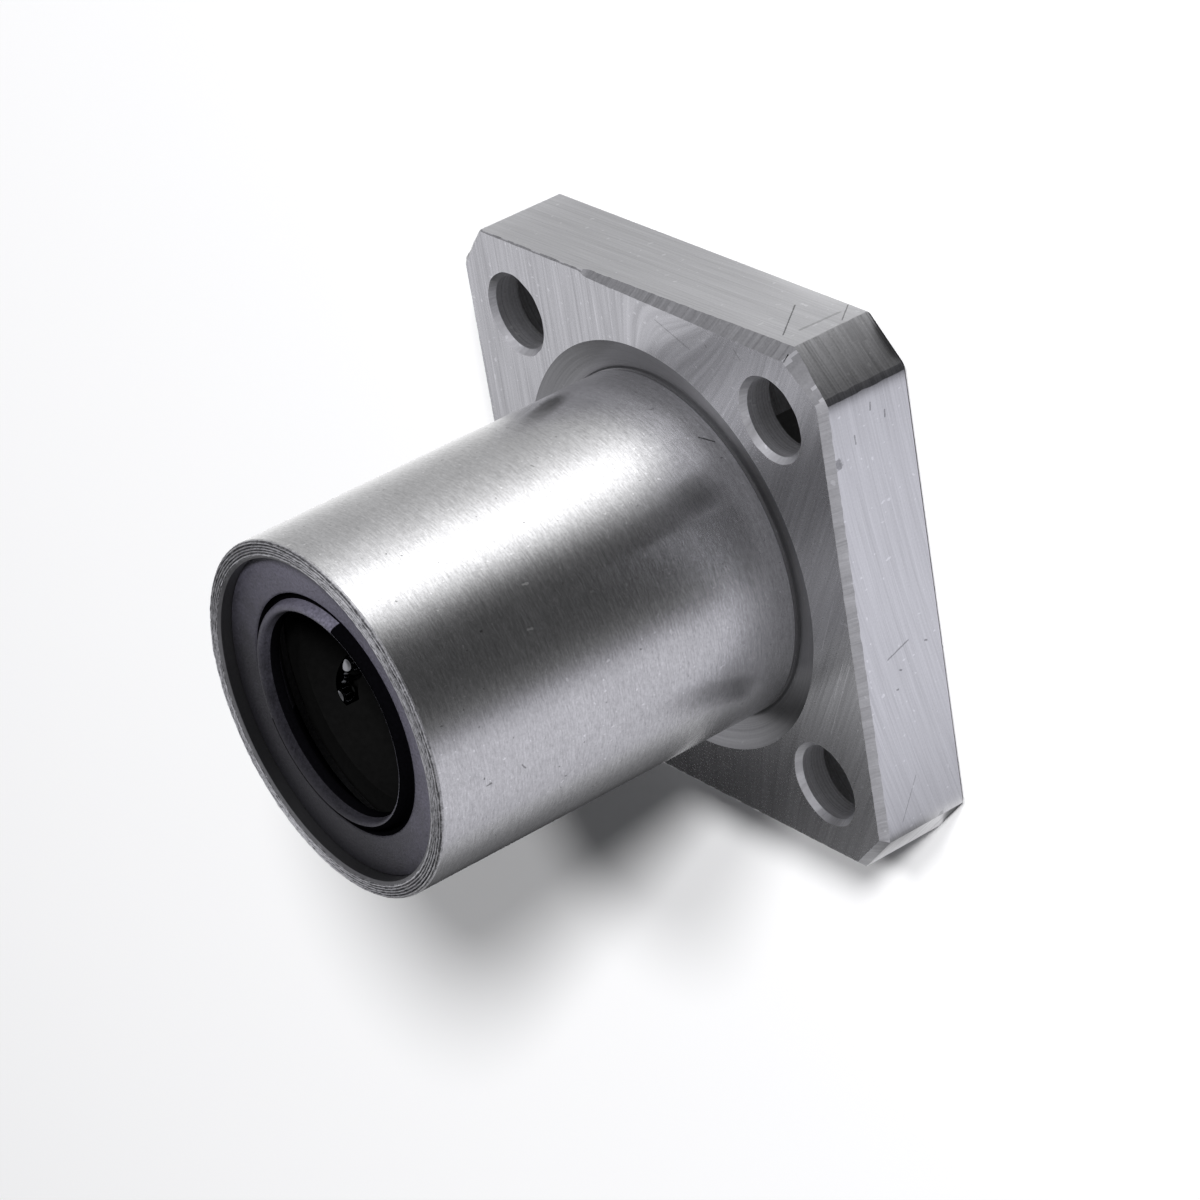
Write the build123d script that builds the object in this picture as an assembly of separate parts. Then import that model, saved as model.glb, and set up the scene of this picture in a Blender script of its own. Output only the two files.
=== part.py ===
"""Square flange linear ball bearing for a 12 mm shaft, in millimetres.

The bore axis is +Z. The origin is the centre of the bore on the flange's outer face,
the face away from the barrel, so the barrel's nose points up.
The steel sleeve is one turned and milled piece. Inside it a moulded cage guides four
closed circuits of balls. In each circuit the loaded row stands proud of the cage's bore
and runs between the shaft and a ground land in the sleeve. The return row lies further
out, in a deeper channel, clear of the shaft. A snap ring holds the cage at each end, and
a rubber wiper seal closes each end.
"""
from build123d import *
import itertools
import math
import os

# Shaft and balls
shaft_diameter = 12.0
ball_diameter = 1.984
circuit_count = 4
first_circuit_angle = 12.0

# Sleeve: barrel and flange
barrel_diameter = 21.0
sleeve_length = 30.0
flange_width = 32.0
flange_thickness = 6.0
flange_corner_cut = 2.5
flange_front_bevel = 0.4
flange_back_bevel = 0.25
nose_outer_bevel = 0.3
root_relief_diameter = 24.8
root_relief_depth = 0.5

# Flange bolt holes, for M4 cap screws sunk in from the outer face
bolt_circle_diameter = 32.0
bolt_hole_diameter = 4.5
bolt_hole_mouth_bevel = 0.3
counterbore_diameter = 7.5
counterbore_depth = 4.1

# Inside of the sleeve
sleeve_bore_diameter = 17.9
land_width = 3.0
land_ramp_length = 1.0
land_overlap = 0.2
mouth_wall = 1.05
mouth_bevel = 0.15

# End seals
seal_recess = 0.85
seal_thickness = 1.6
seal_collar_thickness = 0.8
seal_groove_outer_diameter = 15.0
seal_groove_inner_diameter = 14.0
seal_groove_depth = 0.3
seal_crest_diameter = 12.7
seal_crest_height = 0.4
seal_lip_depth = 0.45
seal_lip_width = 0.3
seal_back_relief_diameter = 14.2

# Snap rings
ring_thickness = 0.8
ring_width = 1.45
ring_groove_depth = 0.45
ring_gap_width = 3.0

# Cage
cage_bore_diameter = 12.6
cage_end_wall = 0.9
cage_end_bevel = 0.2

# Running clearances
track_clearance = 0.005
ball_channel_clearance = 0.06
return_clearance = 0.05
cage_clearance = 0.05
cage_end_play = 0.05
land_side_clearance = 0.15
land_top_clearance = 0.09
ring_groove_clearance = 0.05
ball_row_slack = 1.4
row_spacing_angle = 27.0

# Sizes that follow from the ones above
ball_radius = ball_diameter / 2
shaft_radius = shaft_diameter / 2
barrel_radius = barrel_diameter / 2
bore_radius = sleeve_bore_diameter / 2
seat_radius = barrel_radius - mouth_wall
middle_z = sleeve_length / 2

loaded_row_radius = shaft_radius + ball_radius
track_radius = loaded_row_radius + ball_radius + track_clearance
return_row_radius = bore_radius - return_clearance - ball_radius

seat_depth = seal_recess + seal_collar_thickness
seal_inner_depth = seal_recess + seal_thickness
ring_inner_depth = seal_inner_depth + ring_thickness
cage_length = sleeve_length - 2 * (ring_inner_depth + cage_end_play)
cage_radius = bore_radius - cage_clearance

channel_radius = ball_radius + ball_channel_clearance
channel_slope = (2 - math.sqrt(2)) * channel_radius


def on_circle(radius, degrees):
    """The point of the XY plane at a radius and an angle."""
    angle = math.radians(degrees)
    return Vector(radius * math.cos(angle), radius * math.sin(angle), 0)


loaded_point = on_circle(loaded_row_radius, 0)
return_point = on_circle(return_row_radius, row_spacing_angle)
turn_radius = (return_point - loaded_point).length / 2
row_length = cage_length - 2 * (cage_end_wall + channel_radius + turn_radius)
turn_length = math.pi * turn_radius
circuit_length = 2 * (row_length + turn_length)
balls_per_circuit = int((circuit_length - ball_row_slack) / ball_diameter) + 1
ball_pitch = circuit_length / balls_per_circuit

circuit_angles = [first_circuit_angle + 360 / circuit_count * i for i in range(circuit_count)]


def circuit_plane():
    """The plane of the first circuit: X from the loaded to the return row, Y along the bore."""
    across = (return_point - loaded_point).normalized()
    outward = Vector(across.Y, -across.X, 0)
    centre = (loaded_point + return_point) / 2 + Vector(0, 0, middle_z)
    return Plane(origin=centre, x_dir=across, z_dir=outward)


def turned(points):
    """A solid of revolution about Z from its (radius, z) outline."""
    outline = Polyline(*[(r, 0, z) for r, z in points], close=True)
    return revolve(make_face(outline), Axis.Z)


def washer(outer_radius, inner_radius, low_z, high_z):
    """A plain ring about Z."""
    return turned([(inner_radius, low_z), (outer_radius, low_z), (outer_radius, high_z), (inner_radius, high_z)])


def at_both_ends(end_shape):
    """A shape drawn at the nose end, and its mirror image at the flange end."""
    plane = Plane(origin=(0, 0, middle_z), z_dir=(0, 0, 1))
    return [end_shape, mirror(end_shape, about=plane)]


def flange_plate():
    """The square flange with cut corners and bevelled edges."""
    half = flange_width / 2
    short = half - flange_corner_cut
    quarter = [(half, -short), (half, short), (short, half), (-short, half)]
    corners = quarter + [(-x, -y) for x, y in quarter]
    plate = extrude(make_face(Polyline(*corners, close=True)), flange_thickness)
    plate = chamfer(plate.faces().sort_by(Axis.Z)[-1].edges(), flange_front_bevel)
    return chamfer(plate.faces().sort_by(Axis.Z)[0].edges(), flange_back_bevel)


def bolt_hole_cutter():
    """One counterbored bolt hole with broken edges, on the Z axis."""
    hole = bolt_hole_diameter / 2
    sink = counterbore_diameter / 2
    mouth = hole + bolt_hole_mouth_bevel
    past = 1.0
    return turned(
        [
            (0, -past),
            (sink, -past),
            (sink, counterbore_depth),
            (hole, counterbore_depth),
            (hole, flange_thickness - bolt_hole_mouth_bevel),
            (mouth + past, flange_thickness + past),
            (0, flange_thickness + past),
        ]
    )


def sleeve_lands():
    """The four ground lands that the loaded rows bear on, with ramps at both ends."""
    root = bore_radius + land_overlap
    low = middle_z - row_length / 2
    high = middle_z + row_length / 2
    band = turned(
        [
            (root, low),
            (root, high),
            (bore_radius, high),
            (track_radius, high - land_ramp_length),
            (track_radius, low + land_ramp_length),
            (bore_radius, low),
        ]
    )
    block = Pos(bore_radius, 0, middle_z) * Box(2 * ball_diameter, land_width, sleeve_length)
    return [Rot(0, 0, angle) * (band & block) for angle in circuit_angles]


def seal_seat_cutter():
    """The wide mouth that takes the collar of the nose seal, with a broken edge."""
    floor = sleeve_length - seat_depth
    return turned(
        [
            (0, floor),
            (seat_radius, floor),
            (seat_radius, sleeve_length - mouth_bevel),
            (seat_radius + mouth_bevel, sleeve_length),
            (0, sleeve_length),
        ]
    )


def flanged_sleeve():
    """The steel body: barrel, flange, bolt holes, lands, seal seats, ring grooves and root relief."""
    body = Pos(0, 0, middle_z) * Cylinder(barrel_radius, sleeve_length)
    body = chamfer(body.faces().sort_by(Axis.Z)[-1].edges(), nose_outer_bevel)
    body += flange_plate()
    relief_radius = root_relief_diameter / 2
    body -= turned(
        [
            (barrel_radius, flange_thickness - root_relief_depth),
            (relief_radius, flange_thickness),
            (barrel_radius, flange_thickness),
        ]
    )
    body -= Pos(0, 0, middle_z) * Cylinder(bore_radius, sleeve_length)
    groove = washer(
        bore_radius + ring_groove_depth,
        bore_radius,
        sleeve_length - ring_inner_depth,
        sleeve_length - seal_inner_depth,
    )
    for cutter in at_both_ends(groove) + at_both_ends(seal_seat_cutter()):
        body -= cutter
    bolt_radius = bolt_circle_diameter / 2
    for corner in range(4):
        body -= Pos(on_circle(bolt_radius, 45 + 90 * corner)) * bolt_hole_cutter()
    return body + sleeve_lands()


def channel_cutter():
    """The channel of one circuit: open outwards for loading the balls, with a sloped bottom that cradles them.

    Where the loaded row breaks through the cage's bore, the slopes leave a slot narrower than a ball.
    """
    width = 2 * channel_radius
    outer = SlotCenterToCenter(row_length, 2 * turn_radius + width, rotation=90)
    inner = SlotCenterToCenter(row_length, 2 * turn_radius - width, rotation=90)
    ring = extrude(outer - inner, channel_radius + cage_radius)
    ring = chamfer(ring.faces().sort_by(Axis.Z)[0].edges(), channel_slope)
    return circuit_plane() * Pos(0, 0, -channel_radius) * ring


def ball_retainer():
    """The moulded cage: four ball channels, and a groove over each land that also stops it turning."""
    cage = Pos(0, 0, middle_z) * Cylinder(cage_radius, cage_length)
    cage = chamfer(cage.edges(), cage_end_bevel)
    cage -= Pos(0, 0, middle_z) * Cylinder(cage_bore_diameter / 2, cage_length)
    groove_floor = track_radius - land_top_clearance
    groove_width = land_width + 2 * land_side_clearance
    groove = washer(barrel_radius, groove_floor, 0, sleeve_length)
    groove &= Pos(barrel_radius, 0, middle_z) * Box(barrel_diameter, groove_width, sleeve_length)
    channel = channel_cutter()
    for angle in circuit_angles:
        cage -= Rot(0, 0, angle) * groove
        cage -= Rot(0, 0, angle) * channel
    return cage


def nose_seal():
    """The rubber wiper seal, pressed into the sleeve's mouth with its collar in the wide seat."""
    face = sleeve_length - seal_recess
    collar_floor = sleeve_length - seat_depth
    back = sleeve_length - seal_inner_depth
    lip = face - seal_lip_depth
    crest = face + seal_crest_height
    groove_outer = seal_groove_outer_diameter / 2
    groove_inner = seal_groove_inner_diameter / 2
    groove_floor = face - seal_groove_depth
    return turned(
        [
            (bore_radius, back),
            (bore_radius, collar_floor),
            (seat_radius, collar_floor),
            (seat_radius, face),
            (groove_outer, face),
            (groove_inner, groove_floor),
            (seal_crest_diameter / 2, crest),
            (shaft_radius, lip),
            (shaft_radius, lip - seal_lip_width),
            (seal_back_relief_diameter / 2, back),
        ]
    )


def nose_retaining_ring():
    """The snap ring behind the nose seal, sprung out into its groove."""
    outer = bore_radius + ring_groove_depth - ring_groove_clearance
    low = sleeve_length - ring_inner_depth
    ring = washer(outer, outer - ring_width, low, low + ring_thickness)
    gap = Pos(outer, 0, low + ring_thickness / 2) * Box(2 * outer, ring_gap_width, ring_thickness)
    return ring - gap


def ball():
    """One ball, as a bead of 20 flat facets whose corners lie on the true sphere.

    The balls are many, small and hidden, so each is an icosahedron.
    """
    golden = (1 + math.sqrt(5)) / 2
    unit = ball_radius / math.hypot(1, golden)
    pairs = [(unit * i, unit * golden * j) for i in (-1, 1) for j in (-1, 1)]
    corners = [Vector(0, a, b) for a, b in pairs]
    corners += [Vector(a, b, 0) for a, b in pairs]
    corners += [Vector(b, 0, a) for a, b in pairs]
    edge = 2 * unit
    facets = []
    for a, b, c in itertools.combinations(corners, 3):
        if max((a - b).length, (b - c).length, (c - a).length) < 1.01 * edge:
            facets.append(make_face(Polyline(a, b, c, close=True)))
    return Solid(Shell(facets))


def circuit_place(distance):
    """Where a ball lies at a distance along the circuit: its row or turn, and its point in the plane."""
    if distance < row_length:
        return "loaded", (-turn_radius, distance - row_length / 2)
    distance -= row_length
    if distance < turn_length:
        angle = math.pi - distance / turn_radius
        return "nose_turn", (turn_radius * math.cos(angle), row_length / 2 + turn_radius * math.sin(angle))
    distance -= turn_length
    if distance < row_length:
        return "return", (turn_radius, row_length / 2 - distance)
    distance -= row_length
    angle = -distance / turn_radius
    return "flange_turn", (turn_radius * math.cos(angle), -row_length / 2 + turn_radius * math.sin(angle))


def ball_groups():
    """The balls of the first circuit, by the row or turn that they lie in."""
    plane = circuit_plane()
    one_ball = ball()
    groups = {"loaded": [], "nose_turn": [], "return": [], "flange_turn": []}
    for i in range(balls_per_circuit):
        name, (across, along) = circuit_place((i + 0.5) * ball_pitch)
        centre = plane.from_local_coords(Vector(across, along, 0))
        groups[name].append(Pos(centre) * one_ball)
    return groups


def build_parts():
    """Every piece of the bearing, by its node name."""
    seals = at_both_ends(nose_seal())
    rings = at_both_ends(nose_retaining_ring())
    parts = {
        "flanged_sleeve": flanged_sleeve(),
        "ball_retainer": ball_retainer(),
        "nose_seal": seals[0],
        "flange_seal": seals[1],
        "nose_retaining_ring": rings[0],
        "flange_retaining_ring": rings[1],
    }
    groups = ball_groups()
    for number, angle in enumerate(circuit_angles, start=1):
        for name, balls in groups.items():
            parts[f"{name}_balls_{number}"] = Compound([Rot(0, 0, angle) * one for one in balls])
    return parts


os.makedirs("parts", exist_ok=True)
for node, shape in build_parts().items():
    export_step(shape, f"parts/{node}.step")
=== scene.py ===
"""The looks of a square flange linear bearing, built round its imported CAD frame.

The frame stands on the flange's outer face with the barrel's nose up, in metres.
The camera looks at it as the photograph does, so the barrel lies across the picture.
"""
import math

import bpy
from bpy.props import FloatProperty, FloatVectorProperty, IntProperty, PointerProperty
from mathutils import Matrix, Vector, noise


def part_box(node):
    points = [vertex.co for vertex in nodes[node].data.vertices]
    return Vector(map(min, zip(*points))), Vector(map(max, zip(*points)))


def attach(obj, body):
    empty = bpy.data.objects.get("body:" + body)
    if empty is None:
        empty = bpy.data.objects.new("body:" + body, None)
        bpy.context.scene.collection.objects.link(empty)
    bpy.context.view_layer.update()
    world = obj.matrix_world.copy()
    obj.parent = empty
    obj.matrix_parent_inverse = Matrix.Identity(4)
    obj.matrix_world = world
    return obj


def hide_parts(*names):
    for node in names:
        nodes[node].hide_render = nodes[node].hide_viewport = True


bl_info = {
    "name": "Square Flange Linear Bearing",
    "version": (1, 0, 0),
    "blender": (4, 5, 0),
    "location": "3D View > Sidebar > Bearing",
    "description": "Dresses the packed frame of a square flange linear bearing",
    "category": "Object",
}

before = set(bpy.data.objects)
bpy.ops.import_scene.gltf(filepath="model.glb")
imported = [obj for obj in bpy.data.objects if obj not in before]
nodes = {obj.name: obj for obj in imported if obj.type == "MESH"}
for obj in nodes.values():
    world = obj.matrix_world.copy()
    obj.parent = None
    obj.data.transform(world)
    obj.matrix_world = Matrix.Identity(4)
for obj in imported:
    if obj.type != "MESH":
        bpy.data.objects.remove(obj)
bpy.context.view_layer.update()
mm = 0.001

# Sizes that come from the frame
sleeve_low, sleeve_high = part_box("flanged_sleeve")
seal_low, seal_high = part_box("nose_seal")
flange_half = sleeve_high.x
sleeve_length = sleeve_high.z - sleeve_low.z
seat_radius = seal_high.x
seal_crest_height = 0.4 * mm
seal_face = seal_high.z - seal_crest_height

# Sizes of the sleeve
barrel_radius = 10.5 * mm
flange_thickness = 6.0 * mm
flange_corner_cut = 2.5 * mm
flange_corner_reach = 20.5 * mm
flange_back_bevel = 0.25 * mm
relief_radius = 12.4 * mm
relief_depth = 0.5 * mm
root_undercut = 0.07 * mm
bolt_circle_radius = 16.0 * mm
bolt_offset = bolt_circle_radius / math.sqrt(2)
bolt_hole_radius = 2.25 * mm
hole_chamfer = 0.30 * mm
counterbore_radius = 3.75 * mm
counterbore_depth = 4.1 * mm
bore_radius = 8.95 * mm
seat_depth = 1.65 * mm
mouth_bevel = 0.15 * mm
ring_groove_radius = 9.4 * mm
ring_groove_depths = (2.45 * mm, 3.25 * mm)
land_ends = (7.05 * mm, 22.95 * mm)
land_ramp = 1.0 * mm
land_radius = 7.989 * mm
land_half_width = 1.5 * mm
nose_bevel = 0.30 * mm
ridge_count = 5
first_ridge = 10.33 * mm
ridge_pitch = 0.155 * mm
circuit_angles = (12.0, 102.0, 192.0, 282.0)
slack = 0.02 * mm

# Sizes of the seal's lip and of the groove round it
lip_edge = (6.10 * mm, 6.32 * mm)
lip_crest_end = 6.74 * mm
lip_groove_end = 7.10 * mm
lip_foot_radius = 7.10 * mm

# Steps of the finished meshes
edge_point_spacing = 0.2 * mm
flange_side_rings = 12
hole_steps = 96
seal_steps = 240
ball_subdivisions = 3
barrel_ring_heights = (1, 6, 12, 18, 22)
sleeve_crease = 14
seal_crease = 40

# The photograph's camera, in the frame's millimetres
camera_place = Vector((196.159, 123.189, 139.674)) * mm
camera_right = Vector((0.606953, -0.150787, -0.780302))
camera_up = Vector((-0.292326, 0.870645, -0.395629))
camera_lens = 143.72


class BearingSizes(bpy.types.PropertyGroup):
    """Sizes of the fine form that the looks add to the frame."""

    round_steps: IntProperty(
        name="Round Steps", description="Steps round the barrel", default=360, min=48, max=720
    )
    ball_radius: FloatProperty(
        name="Ball Radius", description="Radius of one ball", default=0.992 * mm, unit="LENGTH", precision=6
    )
    nose_groove_depth: FloatProperty(
        name="Nose Groove Depth",
        description="Depth of the turned grooves on the nose",
        default=0.08 * mm,
        unit="LENGTH",
        precision=6,
    )
    edge_wander: FloatProperty(
        name="Edge Wander",
        description="How far the hand-broken edges wander from a straight line",
        default=0.05 * mm,
        unit="LENGTH",
        precision=6,
    )


class BearingColours(bpy.types.PropertyGroup):
    """Colours of the bearing's finishes and of the stage."""

    steel: FloatVectorProperty(
        name="Steel", description="Ground bearing steel",
        subtype="COLOR", default=(0.60, 0.60, 0.61), min=0, max=1
    )
    rubber: FloatVectorProperty(
        name="Rubber", description="Moulded seal rubber",
        subtype="COLOR", default=(0.022, 0.021, 0.028), min=0, max=1
    )
    resin: FloatVectorProperty(
        name="Resin", description="Moulded cage resin",
        subtype="COLOR", default=(0.003, 0.003, 0.003), min=0, max=1
    )
    ball: FloatVectorProperty(
        name="Ball", description="Polished balls",
        subtype="COLOR", default=(0.72, 0.73, 0.75), min=0, max=1
    )
    floor: FloatVectorProperty(
        name="Floor", description="Pale floor",
        subtype="COLOR", default=(0.88, 0.88, 0.89), min=0, max=1
    )


class Socket:
    """A node's output, with its maths written as Python operators."""

    def __init__(self, tree, output):
        self.tree = tree
        self.output = output

    def maths(self, operation, *values):
        return add_node(self.tree, "ShaderNodeMath", {"operation": operation}, dict(enumerate(values)))

    def __add__(self, other):
        return self.maths("ADD", self, other)

    __radd__ = __add__

    def __sub__(self, other):
        return self.maths("SUBTRACT", self, other)

    def __rsub__(self, other):
        return self.maths("SUBTRACT", other, self)

    def __mul__(self, other):
        return self.maths("MULTIPLY", self, other)

    __rmul__ = __mul__

    def __truediv__(self, other):
        return self.maths("DIVIDE", self, other)

    def __rtruediv__(self, other):
        return self.maths("DIVIDE", other, self)

    def __pow__(self, other):
        return self.maths("POWER", self, other)

    def step(self, low, high):
        """0 below low, 1 above high, and a smooth rise between."""
        sockets = {"Value": self, "From Min": low, "From Max": high}
        settings = {"interpolation_type": "SMOOTHSTEP"}
        return add_node(self.tree, "ShaderNodeMapRange", settings, sockets)


def add_node(tree, kind, settings=None, sockets=None, output=0):
    """A new node, with its settings made first, then its sockets' values or links."""
    node = tree.nodes.new(kind)
    for name, value in (settings or {}).items():
        setattr(node, name, value)
    for name, value in (sockets or {}).items():
        if isinstance(value, Socket):
            tree.links.new(value.output, node.inputs[name])
        else:
            node.inputs[name].default_value = value
    return Socket(tree, node.outputs[output]) if len(node.outputs) else None


def new_tree(name):
    """An empty node tree of a new material."""
    material = bpy.data.materials.new(name)
    material.use_nodes = True
    material.node_tree.nodes.clear()
    return material, material.node_tree


def vector_maths(tree, operation, sockets, output="Vector"):
    """One step of maths on coordinates or colours."""
    return add_node(tree, "ShaderNodeVectorMath", {"operation": operation}, sockets, output)


def place_in_mm(tree):
    """The Object coordinates in millimetres, and their x, y and z."""
    place = add_node(tree, "ShaderNodeTexCoord", output="Object")
    place = vector_maths(tree, "SCALE", {0: place, "Scale": 1 / mm})
    parts = [add_node(tree, "ShaderNodeSeparateXYZ", {}, {0: place}, output=i) for i in range(3)]
    return place, parts


def stretched(tree, place, scale):
    """Coordinates scaled by a different amount along each axis."""
    return add_node(tree, "ShaderNodeMapping", {"vector_type": "POINT"}, {"Vector": place, "Scale": scale})


def grain(tree, place, scale, detail=2.0, rough=0.5):
    """Smooth noise about 0.5 on coordinates in millimetres."""
    sockets = {"Vector": place, "Scale": scale, "Detail": detail, "Roughness": rough}
    return add_node(tree, "ShaderNodeTexNoise", {"noise_dimensions": "3D"}, sockets, output=0)


def line_distance(tree, place, start, end):
    """How far a place is from a straight stroke between two points, in millimetres."""
    start = Vector(start)
    stroke = Vector(end) - start
    length = max(stroke.length, 0.001)
    stroke = stroke / length
    away = vector_maths(tree, "SUBTRACT", {0: place, 1: start})
    share = vector_maths(tree, "DOT_PRODUCT", {0: away, 1: stroke}, "Value")
    share = share.maths("MAXIMUM", share, 0.0)
    share = share.maths("MINIMUM", share, length)
    nearest = vector_maths(tree, "SCALE", {0: stroke, "Scale": share})
    away = vector_maths(tree, "SUBTRACT", {0: away, 1: nearest})
    return vector_maths(tree, "LENGTH", {0: away}, "Value")


def marked(tree, place, shade, marks):
    """A colour with scratches, chips and hairs, each from start to end with a half-width and a tone. A tone
    above 1 paints a highlight onto the mark.
    """
    ragged = (grain(tree, place, 5.0, 3.0, 0.7) - 0.5) * 2.2
    for start, end, half_width, tone in marks:
        distance = line_distance(tree, place, start, end) / half_width + ragged
        cover = 1.0 - distance.step(0.6, 1.2)
        shade = vector_maths(tree, "SCALE", {0: shade, "Scale": cover * (tone - 1.0) + 1.0})
    return shade


def mixed(tree, factor, first, second):
    """A colour between two, through the colour sockets of a Mix node."""
    sockets = {0: factor, 6: first, 7: second}
    return add_node(tree, "ShaderNodeMix", {"data_type": "RGBA"}, sockets, output=2)


def rgba(colour, factor=1.0):
    """A colour property as four numbers, made lighter or darker."""
    return (*[min(1.0, c * factor) for c in colour], 1.0)


def surface(tree, colour, roughness, metallic, height=None, depth=0.0, extra=None):
    """The shader of a finish, with its relief as a Bump node."""
    sockets = {"Base Color": colour, "Roughness": roughness, "Metallic": metallic}
    if height is not None:
        bump = {"Height": height, "Distance": depth, "Strength": 1.0}
        sockets["Normal"] = add_node(tree, "ShaderNodeBump", {}, bump)
    sockets.update(extra or {})
    shader = add_node(tree, "ShaderNodeBsdfPrincipled", {}, sockets)
    add_node(tree, "ShaderNodeOutputMaterial", {}, {"Surface": shader})


def on_barrel(degrees, height):
    """A point of the barrel's surface, in millimetres."""
    turn = math.radians(degrees)
    return (barrel_radius / mm * math.cos(turn), barrel_radius / mm * math.sin(turn), height)


# Marks that the photograph shows: start, end, half-width and tone, in millimetres
# Tones above 1 are real scratches and burrs with a painted highlight on them
barrel_marks = [
    (on_barrel(54.2, 6.1), on_barrel(57.7, 6.7), 0.05, 0.25),
    (on_barrel(22.3, 29.9), on_barrel(23.0, 29.75), 0.20, 1.6),
    (on_barrel(41.0, 20.6), on_barrel(41.3, 20.9), 0.06, 2.4),
    (on_barrel(28.8, 21.6), on_barrel(29.1, 21.9), 0.06, 2.2),
    (on_barrel(51.0, 10.3), on_barrel(51.6, 10.4), 0.05, 1.5),
    (on_barrel(-9.6, 24.3), on_barrel(-8.0, 24.5), 0.05, 0.5),
]
right_marks = [
    ((16, 9.84, 5.5), (16, 9.80, 5.4), 0.30, 0.5),
    ((16, -2.66, 4.00), (16, -2.12, 2.47), 0.05, 0.55),
    ((16, -2.65, 1.33), (16, -2.70, 1.20), 0.06, 0.5),
    ((16, -3.61, 3.29), (16, -3.66, 3.20), 0.06, 0.5),
    ((16, -4.68, 3.68), (16, -4.70, 3.60), 0.06, 0.5),
    ((16, -12.66, 4.54), (16, -10.29, 3.21), 0.025, 0.6),
    ((16, 12.4, 2.8), (16, 12.0, 2.85), 0.05, 0.5),
    ((16, 11.6, 1.9), (16, 11.2, 1.95), 0.05, 0.5),
    ((16, 11.0, 4.1), (16, 10.5, 4.1), 0.05, 0.55),
    ((16, -13.4, 1.8), (16, -14.4, 3.6), 0.12, 0.75),
]
top_marks = [
    ((9.60, 16, 1.98), (11.90, 16, 4.74), 0.045, 0.3),
    ((12.04, 16, 0.34), (13.18, 16, 1.73), 0.04, 0.4),
    ((12.20, 16, 3.82), (12.33, 16, 1.15), 0.10, 0.7),
]
# Tones above 1 are real scratches with a painted highlight on them
front_marks = [
    ((2.25, 14.72, 6), (5.07, 13.70, 6), 0.035, 0.6),
    ((6.52, 14.41, 6), (6.60, 14.30, 6), 0.05, 0.6),
    ((9.01, 14.88, 6), (9.48, 14.36, 6), 0.04, 0.6),
    ((12.6, -7.6, 6), (15.2, -2.4, 6), 0.035, 1.35),
    ((13.4, -5.0, 6), (15.4, -0.8, 6), 0.03, 1.3),
    ((12.9, -2.2, 6), (14.6, 1.4, 6), 0.03, 1.3),
]


def barrel_finish(colour):
    """Ground and tumbled steel: short strokes round the barrel, with bright specks and dark pits."""
    material, tree = new_tree("ground_barrel_steel")
    place, _ = place_in_mm(tree)
    fine = grain(tree, place, 8.0, 3.0, 0.6)
    strokes = grain(tree, stretched(tree, place, (2.2, 2.2, 10.0)), 1.0, 3.0, 0.65)
    lines = grain(tree, stretched(tree, place, (0.5, 0.5, 7.0)), 1.0, 2.0, 0.6)
    cloud = grain(tree, place, 0.35, 2.0)
    specks = grain(tree, place, 4.6, 0.0).step(0.80, 0.84)
    pits = grain(tree, place, 4.1, 0.0).step(0.845, 0.865)
    tone = (strokes - 0.5) * 1.5 + (fine - 0.5) * 0.8 + (lines - 0.5) * 0.6 + (cloud - 0.5) * 0.3 + 0.5
    shade = mixed(tree, tone, rgba(colour, 0.70), rgba(colour, 1.26))
    shade = mixed(tree, specks * 0.6, shade, rgba(colour, 1.55))
    shade = mixed(tree, pits * 0.75, shade, rgba(colour, 0.25))
    shade = marked(tree, place, shade, barrel_marks)
    roughness = 0.24 + (cloud - 0.5) * 0.05 + (lines - 0.5) * 0.05
    # Grinding round the barrel spreads its reflections along it, so the stretch is turned a quarter
    brushed = {"Anisotropic": 0.8, "Anisotropic Rotation": 0.25}
    surface(tree, shade, roughness, 1.0, strokes * 0.7 + fine * 0.3, 0.005 * mm, brushed)
    return material


def nose_finish(colour):
    """The turned nose: torn ridges with a painted highlight between grooves with painted shade, all running
    round the bore.
    """
    material, tree = new_tree("turned_nose_steel")
    place, (x, y, z) = place_in_mm(tree)
    radius = (x * x + y * y) ** 0.5
    turn = y.maths("ARCTAN2", y, x)
    wave = (radius - first_ridge / mm) * (2 * math.pi * mm / ridge_pitch)
    ridge = wave.maths("COSINE", wave) * 0.5 + 0.5
    cuts = add_node(tree, "ShaderNodeCombineXYZ", {}, {0: radius * 13.0, 1: turn * 24.0, 2: 0.0})
    torn = grain(tree, cuts, 1.0, 3.0, 0.7)
    fine = grain(tree, place, 9.0, 2.0, 0.6)
    # Painted highlight on the ridges and painted shade in the grooves, broken up by the torn and fine grain.
    light = ridge * 0.9 + (torn - 0.5) * 2.6 + (fine - 0.5) * 1.2
    shade = mixed(tree, light, rgba(colour, 0.15), rgba(colour, 1.05))
    surface(tree, shade, 0.38 + (fine - 0.5) * 0.2, 1.0, ridge * 0.4 + torn * 0.6, 0.03 * mm)
    return material


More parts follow.
